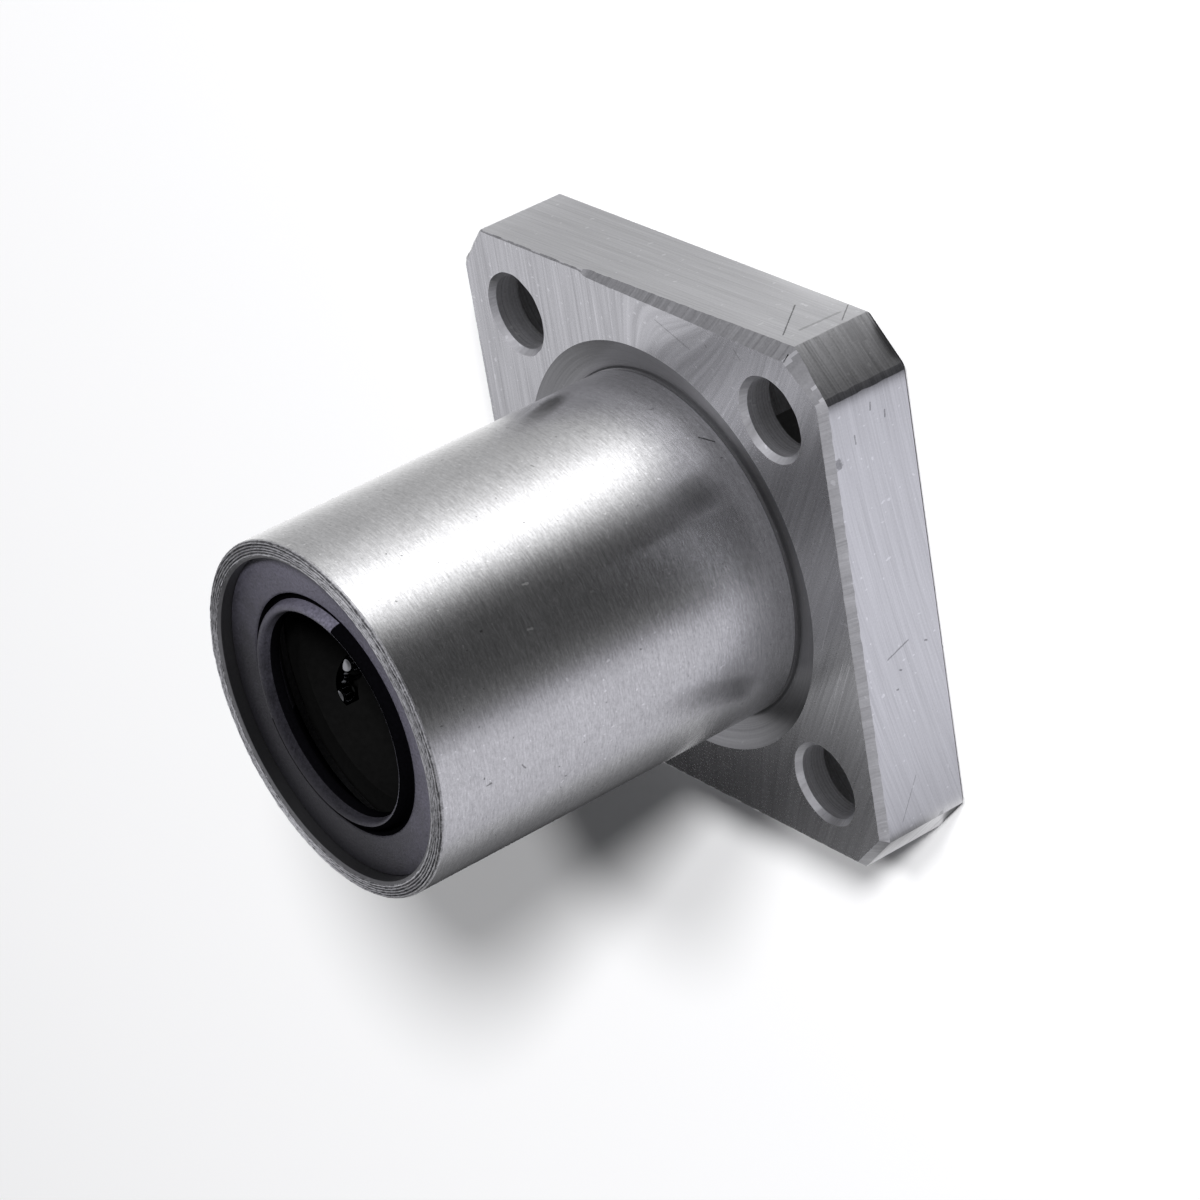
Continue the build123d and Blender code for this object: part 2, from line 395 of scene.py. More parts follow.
def cut_finish(name, colour, lines_of, line_pitch, roughness, depth, tone=1.0, contrast=1.0, marks=()):
    """Cut steel whose tool marks follow the level lines of a height in millimetres."""
    material, tree = new_tree(name)
    place, (x, y, z) = place_in_mm(tree)
    level, along = lines_of(x, y, z)
    cuts = add_node(tree, "ShaderNodeCombineXYZ", {}, {0: level / line_pitch, 1: along * 0.12, 2: 0.0})
    lines = grain(tree, cuts, 1.0, 2.0, 0.7)
    broad = grain(tree, cuts, 0.22, 2.0, 0.6)
    fine = grain(tree, place, 8.0, 2.0, 0.6)
    specks = grain(tree, place, 2.7, 0.0).step(0.77, 0.82)
    shade = (lines - 0.5) * 1.1 + (broad - 0.5) * 0.6 + (fine - 0.5) * 0.5 + 0.5
    dark = rgba(colour, (1 - 0.24 * contrast) * tone)
    light = rgba(colour, (1 + 0.17 * contrast) * tone)
    shade = mixed(tree, shade, dark, light)
    shade = mixed(tree, specks * 0.4, shade, rgba(colour, 1.5 * tone))
    shade = marked(tree, place, shade, marks)
    surface(tree, shade, roughness + (fine - 0.5) * 0.1, 1.0, lines * 0.7 + fine * 0.3, depth)
    return material


def rubber_finish(colour):
    """Moulded rubber with a fine leathery grain, and a painted sheen that lightens one side and darkens the
    other.
    """
    material, tree = new_tree("seal_rubber_finish")
    place, (x, y, z) = place_in_mm(tree)
    fine = grain(tree, place, 6.0, 4.0, 0.7)
    cloud = grain(tree, place, 0.8, 2.0)
    # Painted sheen and shade: the rubber is painted lighter towards +x and +y and darker the other way.
    painted_sheen = (y * 0.77 + x * 0.64 + (cloud - 0.5) * 5.0).step(-6.0, 7.0)
    base = mixed(tree, painted_sheen, rgba(colour, 0.3), rgba(colour, 3.2))
    shade = vector_maths(tree, "SCALE", {0: base, "Scale": (fine - 0.5) * 2.6 + 1.0})
    roughness = 0.44 + (cloud - 0.5) * 0.16
    surface(tree, shade, roughness, 0.0, fine, 0.06 * mm, {"Specular IOR Level": 0.35})
    return material


def dark_rubber_finish(colour):
    """The rubber of the lip's inner wall and of its groove, painted nearly black and without sheen as shade.
    """
    material, tree = new_tree("seal_lip_painted_shade")
    place, _ = place_in_mm(tree)
    fine = grain(tree, place, 6.0, 3.0)
    shade = mixed(tree, fine, rgba(colour, 0.02), rgba(colour, 0.08))
    surface(tree, shade, 0.5 + (fine - 0.5) * 0.2, 0.0, fine, 0.03 * mm, {"Specular IOR Level": 0.0})
    return material


def resin_finish(name, colour, tone, gloss):
    """Moulded resin."""
    material, tree = new_tree(name)
    place, _ = place_in_mm(tree)
    fine = grain(tree, place, 3.0, 3.0)
    shade = mixed(tree, fine, rgba(colour, 0.7 * tone), rgba(colour, 1.4 * tone))
    surface(tree, shade, 0.34 + (fine - 0.5) * 0.15, 0.0, fine, 0.01 * mm, {"Specular IOR Level": gloss})
    return material


def ball_finish(colour):
    """Polished balls with a faint oil film, darkened all over as painted shade inside the bearing."""
    material, tree = new_tree("polished_ball_steel")
    place, _ = place_in_mm(tree)
    cloud = grain(tree, place, 1.5, 2.0)
    # Painted shade: the balls are taken down to 0.4 to 0.5 of their colour.
    shade = mixed(tree, cloud, rgba(colour, 0.4), rgba(colour, 0.5))
    surface(tree, shade, 0.06 + (cloud - 0.5) * 0.05, 1.0)
    return material


def ring_finish(colour):
    """Blackened spring steel."""
    material, tree = new_tree("spring_steel_finish")
    place, _ = place_in_mm(tree)
    fine = grain(tree, place, 5.0, 3.0)
    shade = mixed(tree, fine, rgba(colour, 0.12), rgba(colour, 0.3))
    surface(tree, shade, 0.4 + (fine - 0.5) * 0.2, 1.0, fine, 0.006 * mm)
    return material


def clear_selection():
    """Nothing is selected, in object mode."""
    if bpy.context.mode != "OBJECT":
        bpy.ops.object.mode_set(mode="OBJECT")
    bpy.ops.object.select_all(action="DESELECT")


def pick(*pieces):
    """Only these objects are selected, and the first is the active one."""
    clear_selection()
    for piece in pieces:
        piece.select_set(True)
    bpy.context.view_layer.objects.active = pieces[0]


def turned_shell(name, outline, steps, centre=(0.0, 0.0)):
    """An open shell of revolution: a circle extruded along a (radius, height) outline."""
    clear_selection()
    radius, height = outline[0]
    bpy.ops.mesh.primitive_circle_add(
        vertices=steps, radius=radius, fill_type="NOTHING", location=(*centre, height)
    )
    shell = bpy.context.object
    shell.name = name
    bpy.ops.object.transform_apply(location=True, rotation=True, scale=True)
    bpy.ops.object.mode_set(mode="EDIT")
    bpy.ops.mesh.select_all(action="SELECT")
    for next_radius, next_height in outline[1:]:
        rise = (0, 0, next_height - height)
        bpy.ops.mesh.extrude_region_move(TRANSFORM_OT_translate={"value": rise})
        scale = next_radius / radius
        bpy.ops.transform.resize(value=(scale, scale, 1), center_override=(*centre, next_height))
        radius, height = next_radius, next_height
    bpy.ops.object.mode_set(mode="OBJECT")
    return shell


def close_shell(shell, merge=0.002 * mm):
    """Merges doubles and turns the faces outwards."""
    pick(shell)
    bpy.ops.object.mode_set(mode="EDIT")
    bpy.ops.mesh.select_all(action="SELECT")
    bpy.ops.mesh.remove_doubles(threshold=merge)
    bpy.ops.mesh.normals_make_consistent(inside=False)
    bpy.ops.object.mode_set(mode="OBJECT")


def joined(name, parts):
    """Several meshes as one object, which stays selected."""
    pick(*parts)
    bpy.ops.object.join()
    parts[0].name = name
    return parts[0]


def smooth(piece, degrees):
    """Smooth shading, with edges sharper than an angle kept crisp."""
    pick(piece)
    bpy.ops.object.shade_smooth_by_angle(angle=math.radians(degrees))


def stands_for(piece, slot, *node_names):
    """A finished piece takes the place of its CAD nodes."""
    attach(piece, "root")
    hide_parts(*node_names)


def eased(value, low, high):
    """0 below low, 1 above high, and a smooth rise between."""
    share = min(1.0, max(0.0, (value - low) / (high - low)))
    return share * share * (3 - 2 * share)


def wander(place, scale, seed):
    """Smooth noise between about -1 and 1 along an edge."""
    return noise.noise(Vector((place.x / scale, place.y / scale, seed)))


def flange_corners(height=None):
    """The flange's corner points. At a height, the top right corner's broken edges wander a little."""
    half = flange_half
    short = flange_half - flange_corner_cut
    sway = [0.0, 0.0, 0.0]
    if height is not None:
        sway = [0.07 * mm * noise.noise(Vector((height / (0.6 * mm), 4.0 * i, 11.0))) for i in range(3)]
    corners = [
        (half, short - 0.22 * mm + sway[0]),
        (half - 0.16 * mm - sway[1], short + 0.16 * mm + sway[1]),
        (short + sway[2], half),
        (-short, half),
        (-half, short),
        (-half, -short),
        (-short, -half),
        (short, -half),
        (half, -short),
    ]
    return [Vector((x, y, 0)) for x, y in corners]


def flange_outline(height=None):
    """Evenly spaced points round the square with cut corners, with each point's outward normal."""
    even = flange_corners()
    corners = flange_corners(height)
    points = []
    for i, start in enumerate(corners):
        j = (i + 1) % len(corners)
        side = corners[j] - start
        count = max(2, round((even[j] - even[i]).length / edge_point_spacing))
        outward = Vector((side.y, -side.x, 0)).normalized()
        points += [(start + side * (k / count), outward) for k in range(count)]
    return points


def front_bevel(place):
    """The front bevel's width: hand-broken, and along the top only from a burr rightwards."""
    near_top = eased(place.y, flange_half - flange_corner_cut, flange_half)
    if place.y > flange_half - 0.1 * mm:
        begun = eased(place.x, -4.4 * mm, -3.7 * mm)
        grown = max(0.0, (place.x + 4 * mm) / (17.5 * mm))
        return (0.08 + begun * (0.24 + 0.38 * grown)) * mm
    if place.x > 0:
        return (0.42 + 0.28 * near_top) * mm
    return (0.42 - 0.34 * near_top) * mm


def inset(points, distance):
    """The outline moved inwards at each point, keeping the corners true."""
    moved = []
    for i, (place, outward) in enumerate(points):
        before = points[i - 1][1]
        bisector = (outward + before).normalized()
        moved.append(place - bisector * distance(place) / max(0.3, bisector.dot(outward)))
    return moved


def flange_shell(sizes):
    """The flange's edge, from its back face's rim to its front face's rim."""
    bevel_ring = flange_side_rings + 1
    front_ring = flange_side_rings + 2
    count = len(flange_outline())
    clear_selection()
    bpy.ops.mesh.primitive_circle_add(vertices=count, radius=flange_half, fill_type="NOTHING")
    shell = bpy.context.object
    bpy.ops.object.mode_set(mode="EDIT")
    bpy.ops.mesh.select_all(action="SELECT")
    for _ in range(front_ring):
        rise = flange_thickness / front_ring
        bpy.ops.mesh.extrude_region_move(TRANSFORM_OT_translate={"value": (0, 0, rise)})
    bpy.ops.object.mode_set(mode="OBJECT")
    widths = {
        0: lambda place: flange_back_bevel,
        bevel_ring: lambda place: front_bevel(place) / 2,
        front_ring: front_bevel,
    }
    for ring in range(front_ring + 1):
        share = min(1.0, max(0.0, (ring - 1) / (flange_side_rings - 1)))
        outline = flange_outline(share * flange_thickness)
        moved = inset(outline, widths.get(ring, lambda place: 0.0))
        for i, (edge, outward) in enumerate(outline):
            place = moved[i]
            width = front_bevel(edge)
            rough = sizes.edge_wander * wander(edge, 0.45 * mm, 3.0 + ring)
            if ring == 0:
                place.z = 0.0
            elif ring <= flange_side_rings:
                place.z = flange_back_bevel + share * (flange_thickness - width - flange_back_bevel)
                place.z += rough if ring == flange_side_rings else 0.0
            elif ring == bevel_ring:
                place.z = flange_thickness - width / 2 - abs(rough) / 2
                place -= outward * abs(rough) / 2
            else:
                place.z = flange_thickness
                place -= outward * abs(rough)
            shell.data.vertices[ring * count + i].co = place
    return shell


def bolt_hole_shells():
    """The four counterbored holes, from the front face to the back face."""
    outline = [
        (bolt_hole_radius + hole_chamfer, flange_thickness),
        (bolt_hole_radius + 0.05 * mm, flange_thickness - 0.27 * mm),
        (bolt_hole_radius, flange_thickness - 0.33 * mm),
        (bolt_hole_radius, counterbore_depth + 0.05 * mm),
        (bolt_hole_radius + 0.05 * mm, counterbore_depth),
        (counterbore_radius - 0.05 * mm, counterbore_depth),
        (counterbore_radius, counterbore_depth - 0.05 * mm),
        (counterbore_radius, 0.08 * mm),
        (counterbore_radius + 0.08 * mm, 0.0),
    ]
    shells = []
    for corner in range(4):
        angle = math.radians(45 + 90 * corner)
        centre = Vector((math.cos(angle), math.sin(angle), 0)) * bolt_circle_radius
        shell = turned_shell(f"hole_{corner}", outline, hole_steps, (centre.x, centre.y))
        for vertex in shell.data.vertices[:hole_steps]:
            away = (vertex.co - centre).to_2d().normalized()
            grow = 0.05 * mm * noise.noise(Vector((away.x * 3, away.y * 3, corner * 5.0)))
            vertex.co += Vector((away.x, away.y, 0)) * grow
        shells.append(shell)
    return shells


def nose_outline(groove):
    """The turned nose: an outer bevel and a few fine grooves, from the barrel to the seal's seat."""
    top = sleeve_length
    points = [
        (barrel_radius, top - nose_bevel),
        (barrel_radius - 0.03 * mm, top - 0.20 * mm),
        (barrel_radius - 0.09 * mm, top - 0.12 * mm),
    ]
    for i in range(ridge_count):
        ridge = first_ridge - i * ridge_pitch
        drop = 0.05 * mm if i == 0 else 0.0
        points.append((ridge, top - drop))
        if i < ridge_count - 1:
            points.append((ridge - ridge_pitch / 2, top - drop - groove))
    edge = seat_radius + mouth_bevel
    points += [(edge + 0.05 * mm, top - 0.02 * mm), (edge, top - 0.06 * mm)]
    points += [(seat_radius + 0.02 * mm, top - mouth_bevel), (seat_radius, top - mouth_bevel - 0.03 * mm)]
    return points


def roughen_nose(shell, amount):
    """The nose's turned ridges are torn a little."""
    for vertex in shell.data.vertices:
        co = vertex.co
        radius = math.hypot(co.x, co.y)
        if co.z > sleeve_length - 0.15 * mm and radius > seat_radius + mouth_bevel:
            torn = wander(co, 0.35 * mm, radius / mm * 9.0)
            co.z -= amount * (0.5 + torn)
            co.z = min(co.z, sleeve_length)


def bore_outline():
    """The sleeve's inside, from the nose seal's seat to the flange's outer face."""
    r = bore_radius
    g = ring_groove_radius
    near, far = ring_groove_depths
    top = sleeve_length
    low, high = land_ends
    seat = [(seat_radius, seat_depth), (r, seat_depth)]
    points = [(radius, top - depth) for radius, depth in seat + [(r, near), (g, near), (g, far), (r, far)]]
    points += [(r, high + 0.02 * mm), (r, high), (r, high - land_ramp), (r, low + land_ramp)]
    points += [(r, low), (r, low - 0.02 * mm), (r, far), (g, far), (g, near), (r, near)]
    points += seat[::-1] + [(seat_radius, mouth_bevel), (seat_radius + mouth_bevel, 0.0)]
    return points


def raise_lands(shell):
    """The four ground lands stand in from the bore."""
    low, high = land_ends
    for vertex in shell.data.vertices:
        co = vertex.co
        radius = math.hypot(co.x, co.y)
        on_bore = abs(radius - bore_radius) <= 0.01 * mm
        if not on_bore or not low + 0.5 * land_ramp < co.z < high - 0.5 * land_ramp:
            continue
        for angle in circuit_angles:
            turn = math.radians(angle)
            across = -co.x * math.sin(turn) + co.y * math.cos(turn)
            along = co.x * math.cos(turn) + co.y * math.sin(turn)
            if along > 0 and abs(across) < land_half_width:
                factor = land_radius / radius
                vertex.co = Vector((co.x * factor, co.y * factor, co.z))


def flat_face(shell, height):
    """Fills the open loops at a height with one flat face pierced by the holes."""
    pick(shell)
    bpy.ops.object.mode_set(mode="EDIT")
    bpy.ops.mesh.select_mode(type="EDGE")
    bpy.ops.mesh.select_all(action="DESELECT")
    bpy.ops.mesh.select_non_manifold(extend=False, use_wire=False, use_boundary=True,
                                     use_multi_face=False, use_non_contiguous=False, use_verts=False)
    bpy.ops.object.mode_set(mode="OBJECT")
    mesh = shell.data
    wanted = 0
    for edge in mesh.edges:
        if edge.select:
            level = all(abs(mesh.vertices[v].co.z - height) < 0.01 * mm for v in edge.vertices)
            edge.select = level
            wanted += level
    if not wanted:
        raise RuntimeError("the sleeve has no open edge at this height")
    for vertex in mesh.vertices:
        vertex.select = False
    for edge in mesh.edges:
        if edge.select:
            for v in edge.vertices:
                mesh.vertices[v].select = True
    bpy.ops.object.mode_set(mode="EDIT")
    bpy.ops.mesh.fill(use_beauty=True)
    bpy.ops.object.mode_set(mode="OBJECT")


def paint_by_place(piece, finishes, choose):
    """Gives each face the finish that is named for its middle and its normal."""
    names = list(finishes)
    for name in names:
        piece.data.materials.append(finishes[name])
    for polygon in piece.data.polygons:
        polygon.material_index = names.index(choose(polygon.center, polygon.normal))


def sleeve_finish_name(centre, normal):
    """Which of the sleeve's finishes a face has."""
    radius = math.hypot(centre.x, centre.y)
    front = flange_thickness
    upright = abs(normal.z) < 0.05
    if radius < seat_radius + 0.12 * mm:
        return "bore"
    if radius < barrel_radius and centre.z > sleeve_length - nose_bevel - slack:
        return "nose"
    if radius < barrel_radius + slack and centre.z < front - 0.3 * mm:
        return "relief"
    if radius < barrel_radius + slack or centre.z > front + 0.1 * mm:
        return "barrel"
    if normal.z > 0.98 and abs(centre.z - front) < slack:
        return "front"
    if normal.z < -0.98 and abs(centre.z) < slack:
        return "back"
    if radius < relief_radius + slack:
        return "relief"
    if upright and max(abs(centre.x), abs(centre.y)) > flange_half - 0.01 * mm:
        return "side" if abs(centre.x) > abs(centre.y) else "edge"
    if upright and radius > flange_corner_reach:
        return "corner"
    if math.hypot(abs(centre.x) - bolt_offset, abs(centre.y) - bolt_offset) < counterbore_radius + 0.15 * mm:
        on_rim = centre.z > front - 0.31 * mm or centre.z < 0.09 * mm
        return "broken_edge" if on_rim else "hole"
    return "filed_edge" if normal.y > 0.5 and centre.z > front / 2 else "broken_edge"


def make_sleeve(sizes, colours):
    """The steel body: barrel, flange, bolt holes and the bore."""
    top = flange_thickness
    root = top - relief_depth
    outer = [
        (relief_radius, top),
        (relief_radius - 0.06 * mm, top - 0.018 * mm),
        (barrel_radius + 0.7 * mm, root + 0.12 * mm),
        (barrel_radius + 0.3 * mm, root + 0.03 * mm),
        (barrel_radius + 0.12 * mm, root),
        (barrel_radius, root - 0.04 * mm),
        (barrel_radius - root_undercut, root - 0.02 * mm),
        (barrel_radius - root_undercut, root + 0.10 * mm),
        (barrel_radius, root + 0.20 * mm),
    ]
    barrel = [(barrel_radius, top + h * mm) for h in barrel_ring_heights]
    outline = outer + barrel + nose_outline(sizes.nose_groove_depth) + bore_outline()
    shell = turned_shell("flanged_sleeve_body", outline, sizes.round_steps)
    raise_lands(shell)
    roughen_nose(shell, sizes.nose_groove_depth / 2)
    shells = [shell, flange_shell(sizes)] + bolt_hole_shells()
    piece = joined("flanged_sleeve_body", shells)
    flat_face(piece, flange_thickness)
    flat_face(piece, 0.0)
    close_shell(piece)
    steel = colours.steel
    finishes = {
        "barrel": barrel_finish(steel),
        "front": cut_finish(
            "ground_front_steel", steel, front_lines, 0.16, 0.26, 0.006 * mm, 1.0, 1.7, front_marks
        ),
        "back": cut_finish("turned_back_steel", steel, round_lines, 0.12, 0.28, 0.004 * mm),
        "side": cut_finish(
            "milled_side_steel", steel, side_lines, 0.11, 0.30, 0.006 * mm, 1.0, 1.0, right_marks
        ),
        "edge": cut_finish(
            "milled_edge_steel", steel, edge_lines, 0.11, 0.30, 0.005 * mm, 1.0, 1.1, top_marks
        ),
        "corner": cut_finish("milled_corner_steel", steel, corner_lines, 0.16, 0.32, 0.02 * mm, 1.15, 2.2),
        "hole": cut_finish("drilled_hole_steel", steel, hole_lines, 0.10, 0.60, 0.015 * mm, 1.2, 2.0),
        "broken_edge": cut_finish("broken_edge_steel", steel, bevel_lines, 0.10, 0.36, 0.02 * mm, 1.0, 1.3),
        "nose": nose_finish(steel),
        # Painted shade on the mouth wall and the bore: the steel is taken down to 0.28 of its tone.
        "bore": cut_finish("bore_steel_painted_shade", steel, round_lines, 0.12, 0.45, 0.008 * mm, 0.28),
        "filed_edge": cut_finish("filed_edge_steel", steel, bevel_lines, 0.14, 0.40, 0.03 * mm, 0.64, 2.2),
        # Painted shade on the relief round the barrel's root: the steel is taken down to 0.55 of its tone.
        "relief": cut_finish("turned_relief_steel_painted_shade", steel, round_lines, 0.10, 0.30, 0.008 * mm, 0.55, 1.4),
    }
    paint_by_place(piece, finishes, sleeve_finish_name)
    smooth(piece, sleeve_crease)
    stands_for(piece, "bearing_steel", "flanged_sleeve")
    return piece


def front_lines(x, y, z):
    """Grinding lines on the flange's front face: upright at the left, leaning at the right."""
    return x - y * 0.554 * x.step(-4.0, 10.0), y


def round_lines(x, y, z):
    """Turning circles round the bore."""
    return (x * x + y * y) ** 0.5, y.maths("ARCTAN2", y, x) * 10.0


def side_lines(x, y, z):
    """Slightly bent milling lines on the left and right edges."""
    return z - (y * 0.165 - y * y * 0.00325), y


def edge_lines(x, y, z):
    """Milling lines on the top and bottom edges."""
    return z + x * 0.02, x


def corner_lines(x, y, z):
    """Milling lines along the cut corners."""
    return z, x - y


def hole_lines(x, y, z):
    """Drilling rings in the bolt holes."""
    return z, x


def bevel_lines(x, y, z):
    """Filing marks across the broken edges."""
    return x * 0.7 + y * 0.7 + z, y - x


def seal_outline():
    """The wiper seal's section as (radius, height) from its outer back corner, nose end up."""
    face = seal_face
    back = seal_low.z
    collar = sleeve_length - seat_depth
    outer = [
        (bore_radius, back),
        (bore_radius, collar),
        (seat_radius, collar),
        (seat_radius, face - 0.08 * mm),
        (seat_radius - 0.03 * mm, face - 0.02 * mm),
        (seat_radius - 0.08 * mm, face),
    ]
    # The groove and the raised lip, in millimetres from the axis and from the seal's face
    groove = [(7.28, 0.0), (7.19, -0.02), (7.12, -0.08), (7.06, -0.24), (6.99, -0.42), (6.92, -0.48)]
    outside = [(6.84, -0.40), (6.77, -0.18), (6.71, 0.06), (6.65, 0.21), (6.57, 0.32), (6.47, 0.38)]
    inside = [(6.36, 0.39), (6.27, 0.35), (6.20, 0.27), (6.15, 0.14), (6.08, -0.20), (6.02, -0.40)]
    edge = [(6.00, -0.50), (6.00, -0.72), (6.04, -0.78)]
    lip = [(radius * mm, face + rise * mm) for radius, rise in groove + outside + inside + edge]
    return outer + lip + [(lip_foot_radius, back), (bore_radius, back)]


def seal_finish_name(centre, normal):
    """Painted shade for the lip's inner wall and the groove outside it, and for the lip's crest but for one
    side, which keeps the plain rubber and looks lit.
    """
    radius = math.hypot(centre.x, centre.y)
    edge_start, edge_end = lip_edge
    on_edge = edge_start < radius < edge_end
    # The crest's side towards -x and +y is left out of the painted shade, so it reads as lit.
    lit_crest_side = centre.y - centre.x > 4 * mm and edge_start < radius < lip_crest_end
    return "rubber" if on_edge or lit_crest_side or radius > lip_groove_end else "lip"


def make_seals(colours):
    """The two rubber wiper seals, as mirror images."""
    # The lip finish is painted shade on the lip's inner wall, its groove and most of its crest.
    finishes = {"rubber": rubber_finish(colours.rubber), "lip": dark_rubber_finish(colours.rubber)}
    for node, name, flip in (("nose_seal", "nose_wiper", False), ("flange_seal", "flange_wiper", True)):
        outline = seal_outline()
        if flip:
            outline = [(r, sleeve_length - z) for r, z in outline]
        seal = turned_shell(name, outline, seal_steps)
        close_shell(seal)
        paint_by_place(seal, finishes, seal_finish_name)
        smooth(seal, seal_crease)
        stands_for(seal, "seal_rubber", node)


def make_rings(colours):
    """The snap rings keep their CAD shape."""
    finish = ring_finish(colours.steel)
    for node in ("nose_retaining_ring", "flange_retaining_ring"):
        give_finish(nodes[node], finish)


def give_finish(piece, material):
    """A CAD node's only material."""
    piece.data.materials.clear()
    piece.data.materials.append(material)


def make_cage(colours):
    """The moulded cage keeps its CAD shape. The edge of its mouth has a painted highlight: a resin ten times
    lighter and glossier.
    """
    cage = nodes["ball_retainer"]
    give_finish(cage, resin_finish("cage_resin_finish", colours.resin, 1.0, 0.04))
    # Painted highlight on the cage's mouth edge.
    cage.data.materials.append(resin_finish("cage_edge_painted_highlight", colours.resin, 10.0, 0.5))
    low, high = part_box("ball_retainer")
    for polygon in cage.data.polygons:
        at = polygon.center
        near_end = min(high.z - at.z, at.z - low.z) < 0.21 * mm
        if near_end and math.hypot(at.x, at.y) < 6.52 * mm:
            polygon.material_index = 1


def ball_centres(node):
    """The middle of each loose part of a CAD node of balls, found on a copy."""
    copy = node.copy()
    copy.data = node.data.copy()
    bpy.context.scene.collection.objects.link(copy)
    pick(copy)
    bpy.ops.object.mode_set(mode="EDIT")
    bpy.ops.mesh.select_all(action="SELECT")
    bpy.ops.mesh.remove_doubles(threshold=0.01 * mm)
    bpy.ops.mesh.separate(type="LOOSE")
    bpy.ops.object.mode_set(mode="OBJECT")
    centres = []
    for part in list(bpy.context.selected_objects):
        corners = [v.co for v in part.data.vertices]
        centres.append(sum(corners, Vector()) / len(corners))
        bpy.data.objects.remove(part)
    return centres


def copies(pattern, centres):
    """Copies of a piece about the origin, each with its own mesh, moved to their centres."""
    pieces = []
    for centre in centres:
        piece = pattern.copy()
        piece.data = pattern.data.copy()
        piece.location = centre
        bpy.context.scene.collection.objects.link(piece)
        pieces.append(piece)
    pick(*pieces)
    bpy.ops.object.transform_apply(location=True, rotation=True, scale=True)
    return pieces


def make_balls(sizes, colours):
    """Smooth balls in the place of the CAD's faceted beads."""
    finish = ball_finish(colours.ball)
    clear_selection()
    bpy.ops.mesh.primitive_ico_sphere_add(subdivisions=ball_subdivisions, radius=sizes.ball_radius)
    bpy.ops.object.shade_smooth()
    pattern = bpy.context.object
    for name in sorted(n for n in nodes if "_balls_" in n):
        group_name = name.replace("_balls_", "_ball_group_")
        group = joined(group_name, copies(pattern, ball_centres(nodes[name])))
        group.data.materials.append(finish)
        stands_for(group, "ball_steel", name)
    bpy.data.objects.remove(pattern)


# Studio: the glow that the barrel mirrors from the fan, by the angle of its surface in degrees
mirror_stops = [
    (-58, 0.07), (-50, 0.062), (-42, 0.088), (-36, 0.185), (-30, 0.41), (-24, 0.63), (-18, 0.72),
    (-12, 0.77), (-6, 0.81), (2, 0.79), (6, 0.72), (9, 0.54), (12, 0.32), (15, 0.20), (18, 0.14),
    (22, 0.09), (30, 0.072), (38, 0.08), (42, 0.13), (45, 0.26), (48, 0.56), (51, 1.05), (54, 1.6),
    (59, 2.3), (64, 2.2), (67, 1.8), (72, 1.22), (78, 0.85), (84, 0.66), (90, 0.59), (96, 0.62),
    (102, 0.75), (108, 0.97), (114, 1.2), (122, 1.33),
]
# The glow of the sky low over the stage, by the same angle
low_sky_stops = [
    (-58, 0.08), (-42, 0.10), (-30, 0.20), (-18, 0.38), (-8, 0.42), (4, 0.45), (12, 0.36), (18, 0.24),
    (30, 0.17), (38, 0.20), (46, 0.45), (54, 1.0), (66, 1.0), (74, 0.70), (84, 0.58), (96, 0.50),
    (108, 0.50), (122, 0.5),
]
# The glow of the collar beside the flange's right edge, top edge and top right corner, by millimetres
right_edge_stops = [
    (-14, 0.62), (-13, 0.68), (-9.6, 0.80), (-5.6, 0.86), (-0.6, 0.885), (8.4, 0.86), (12.2, 0.80),
    (12.6, 0.30), (12.8, 0.05),
]
top_edge_stops = [(-14, 0.64), (-10, 0.63), (-1.6, 0.67), (3.4, 0.70), (8, 0.73), (14, 0.70)]
corner_stops = [(13.9, 0.36), (15.0, 0.26), (16.2, 0.14), (17, 0.12)]
# The glow of the screen's lower half, by millimetres
screen_stops = [
    (-160, 0.02), (-12, 0.02), (-7, 0.05), (-2, 0.14), (2, 0.18), (5, 0.25), (8.5, 0.42), (12, 0.6),
]
window_tone = 0.78
overhead_tone = 0.75
footprint_tone = 0.02

# Places of the cards and lights
camera_heading = 32.35
fan_start = -58
fan_sweep = 180
fan_near = 4 * mm
fan_length = 700 * mm
card_depth = -3.0 * mm
collar_gap = 1.0 * mm
collar_bottom = -1.5 * mm
collar_height = 7.3 * mm
sky_radius = 0.9
sky_edge = 2
sky_low_ends = (36, 56)
window_headings = (186, 198, 226, 236)
screen_corner = Vector((-160, -25, -3)) * mm
screen_length = 172 * mm
screen_height = 39 * mm
screen_low_ends = (21.5, 36)
footprint_half = 15.9 * mm
floor_size = 6.0
light_distance = 2.0
light_size = 0.3
light_target = Vector((0, 0, 10 * mm))


def from_stops(stops, value):
    """A number read off a list of (place, number) stops."""
    for (a, low), (b, high) in zip(stops, stops[1:]):
        if value <= b:
            share = max(0.0, (value - a) / (b - a))
            return low + (high - low) * share
    return stops[-1][1]


def glow_finish(name):
    """A card that shines as its colour attribute says."""
    material, tree = new_tree(name)
    tone = add_node(tree, "ShaderNodeAttribute", {"attribute_name": "glow"}, {}, output="Color")
    shader = add_node(tree, "ShaderNodeEmission", {}, {"Color": tone, "Strength": 1.0})
    add_node(tree, "ShaderNodeOutputMaterial", {}, {"Surface": shader})
    return material


